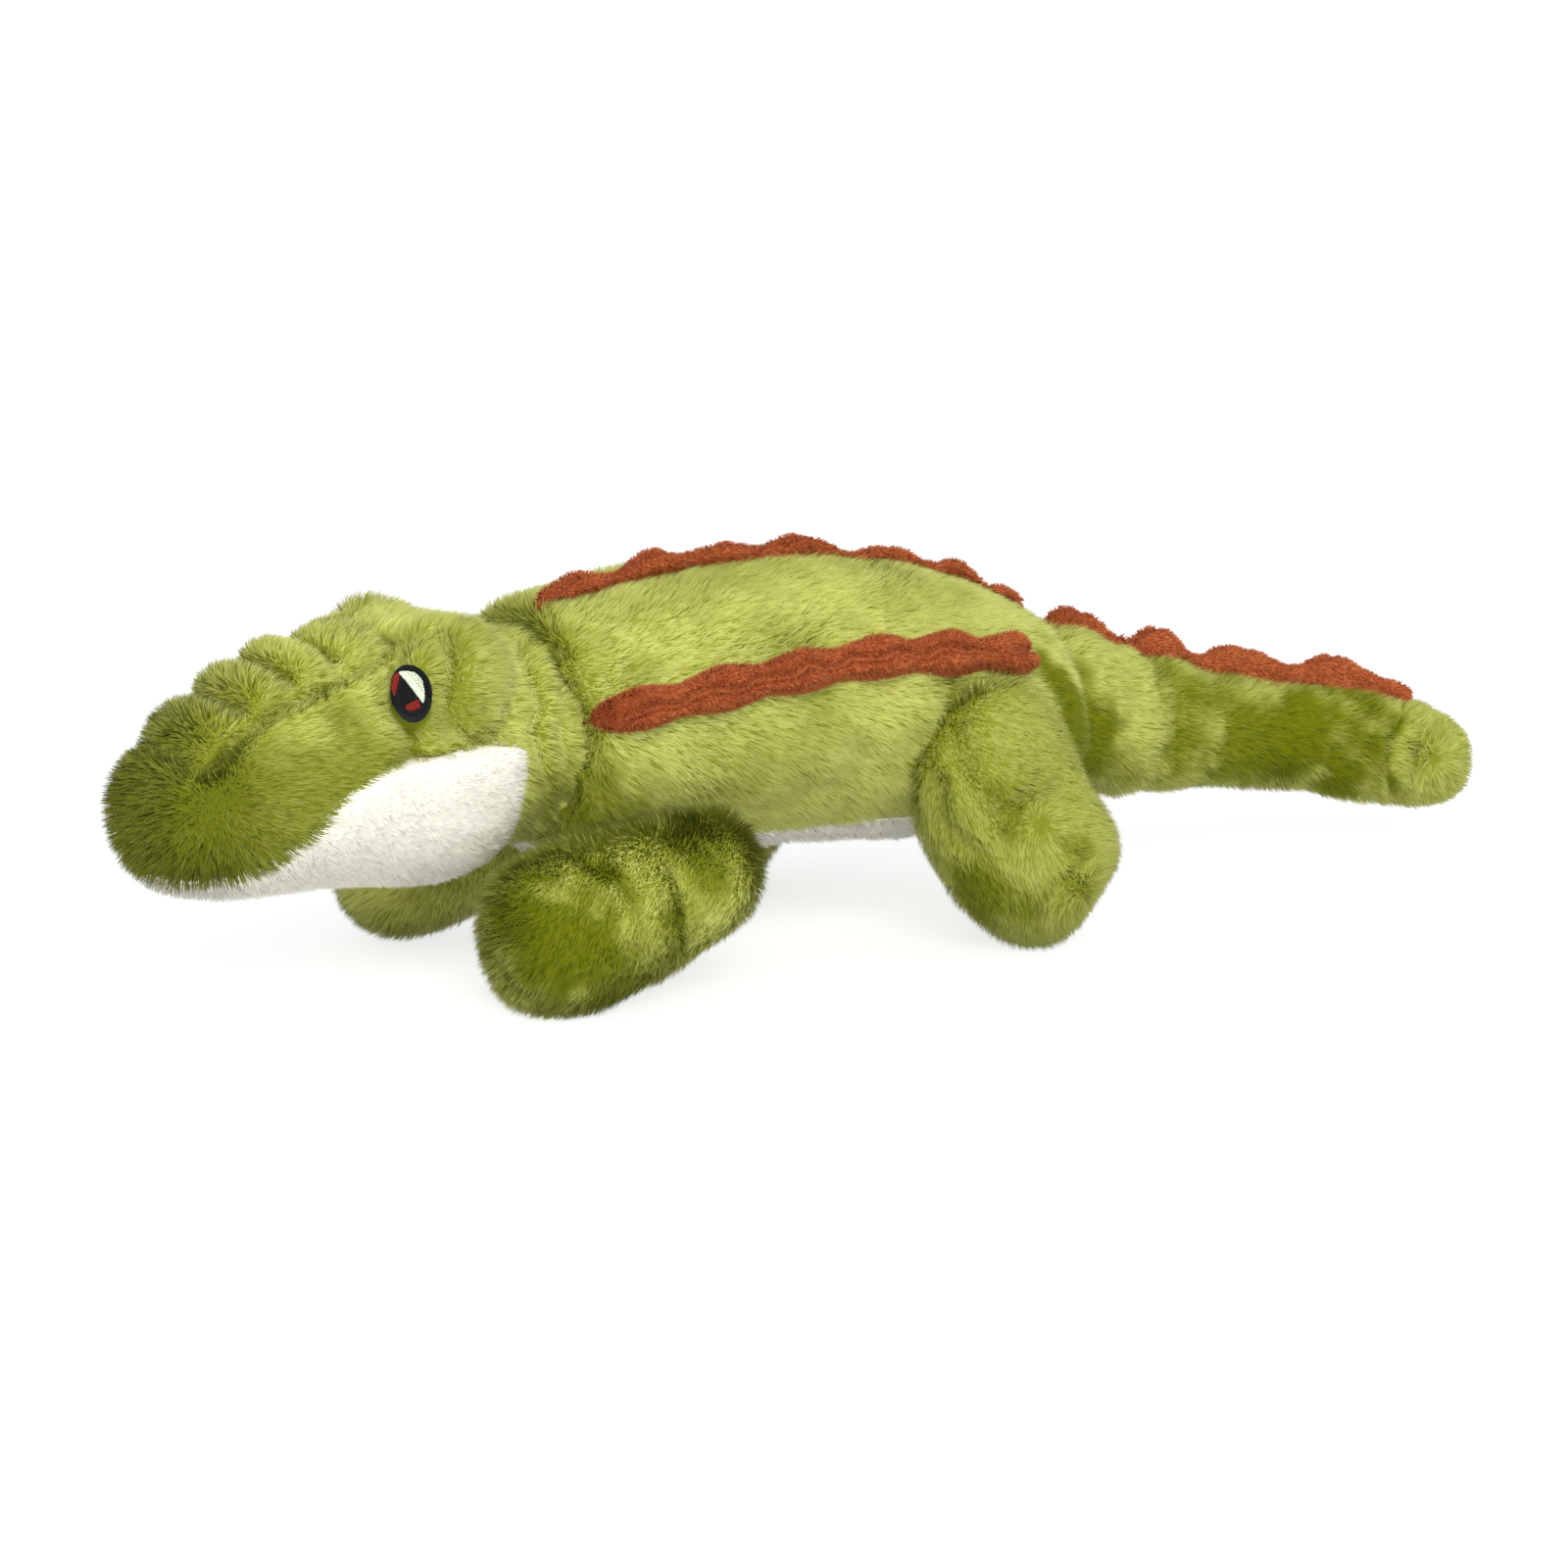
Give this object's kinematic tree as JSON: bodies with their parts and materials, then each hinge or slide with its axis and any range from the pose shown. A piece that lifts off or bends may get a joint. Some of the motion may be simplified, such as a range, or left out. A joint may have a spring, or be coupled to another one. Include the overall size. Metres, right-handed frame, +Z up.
{
  "type": "plush dog toy",
  "caption": "Long stuffed alligator plush toy for dogs, with a big snout, stubby legs, a tapering tail and scalloped crest strips",
  "frame": {"origin": "on the floor under the centre of the toy's bounding box", "axes": "+X from the snout towards the tail, +Z up, -Y the side the picture shows"},
  "size_m": [0.4384, 0.1612, 0.1112],
  "materials": {
    "green_pile": "long olive green pile",
    "cream_pile": "short cream pile",
    "brown_pile": "short rust brown pile",
    "black_thread": "satin stitch",
    "dark_red_thread": "satin stitch",
    "mint_thread": "satin stitch",
    "squeaker_plastic": "soft translucent"
  },
  "bodies": {
    "torso": {"torso": "green_pile", "belly_panel": "cream_pile", "squeaker_bulb": "squeaker_plastic", "squeaker_reed": "squeaker_plastic", "spine_crest": "brown_pile", "left_flank_crest": "brown_pile", "right_flank_crest": "brown_pile"},
    "neck": {"neck": "green_pile"},
    "head": {"head": "green_pile", "snout_band": "green_pile", "lower_jaw": "cream_pile", "left_eye_patch": "black_thread", "left_eye_iris": "dark_red_thread", "left_eye_glint": "mint_thread", "right_eye_patch": "black_thread", "right_eye_iris": "dark_red_thread", "right_eye_glint": "mint_thread"},
    "front_left_leg": {"front_left_leg": "green_pile"},
    "front_right_leg": {"front_right_leg": "green_pile"},
    "rear_left_leg": {"rear_left_leg": "green_pile"},
    "rear_right_leg": {"rear_right_leg": "green_pile"},
    "tail_base": {"tail_base": "green_pile", "tail_base_crest": "brown_pile"},
    "tail_tip": {"tail_tip": "green_pile", "tail_tip_crest": "brown_pile"}
  },
  "joints": [
    {"name": "neck_turn", "type": "hinge", "parent": "torso", "child": "neck", "pos_m": [-0.11351, 0.00029, 0.064], "axis": [0, 0, 1], "range_deg": [-12, 12], "stiffness_Nm_per_rad": 0.4},
    {"name": "head_nod", "type": "hinge", "parent": "neck", "child": "head", "pos_m": [-0.11351, 0.00029, 0.064], "axis": [-0.0785, 0.9969, 0], "range_deg": [-8, 10], "stiffness_Nm_per_rad": 0.8},
    {"name": "front_left_leg_swing", "type": "hinge", "parent": "torso", "child": "front_left_leg", "pos_m": [-0.06898, -0.03298, 0.03948], "axis": [0, -0.6157, -0.788], "range_deg": [-12, 15], "stiffness_Nm_per_rad": 0.4},
    {"name": "front_right_leg_swing", "type": "hinge", "parent": "torso", "child": "front_right_leg", "pos_m": [-0.06898, 0.03357, 0.03948], "axis": [0, 0.6157, -0.788], "range_deg": [-12, 12], "stiffness_Nm_per_rad": 0.4},
    {"name": "rear_left_leg_swing", "type": "hinge", "parent": "torso", "child": "rear_left_leg", "pos_m": [0.01208, -0.04596, 0.05127], "axis": [0, -0.9397, -0.342], "range_deg": [-20, 20], "stiffness_Nm_per_rad": 0.4},
    {"name": "rear_right_leg_swing", "type": "hinge", "parent": "torso", "child": "rear_right_leg", "pos_m": [0.01208, 0.04655, 0.05127], "axis": [0, 0.9397, -0.342], "range_deg": [-20, 20], "stiffness_Nm_per_rad": 0.4},
    {"name": "tail_swing", "type": "hinge", "parent": "torso", "child": "tail_base", "pos_m": [0.07399, 0.00029, 0.0535], "axis": [0, 0, 1], "range_deg": [-20, 20], "stiffness_Nm_per_rad": 0.3},
    {"name": "tail_bend", "type": "hinge", "parent": "tail_base", "child": "tail_tip", "pos_m": [0.10849, 0.00029, 0.04638], "axis": [0, 0, 1], "range_deg": [-20, 20], "stiffness_Nm_per_rad": 0.2}
  ]
}
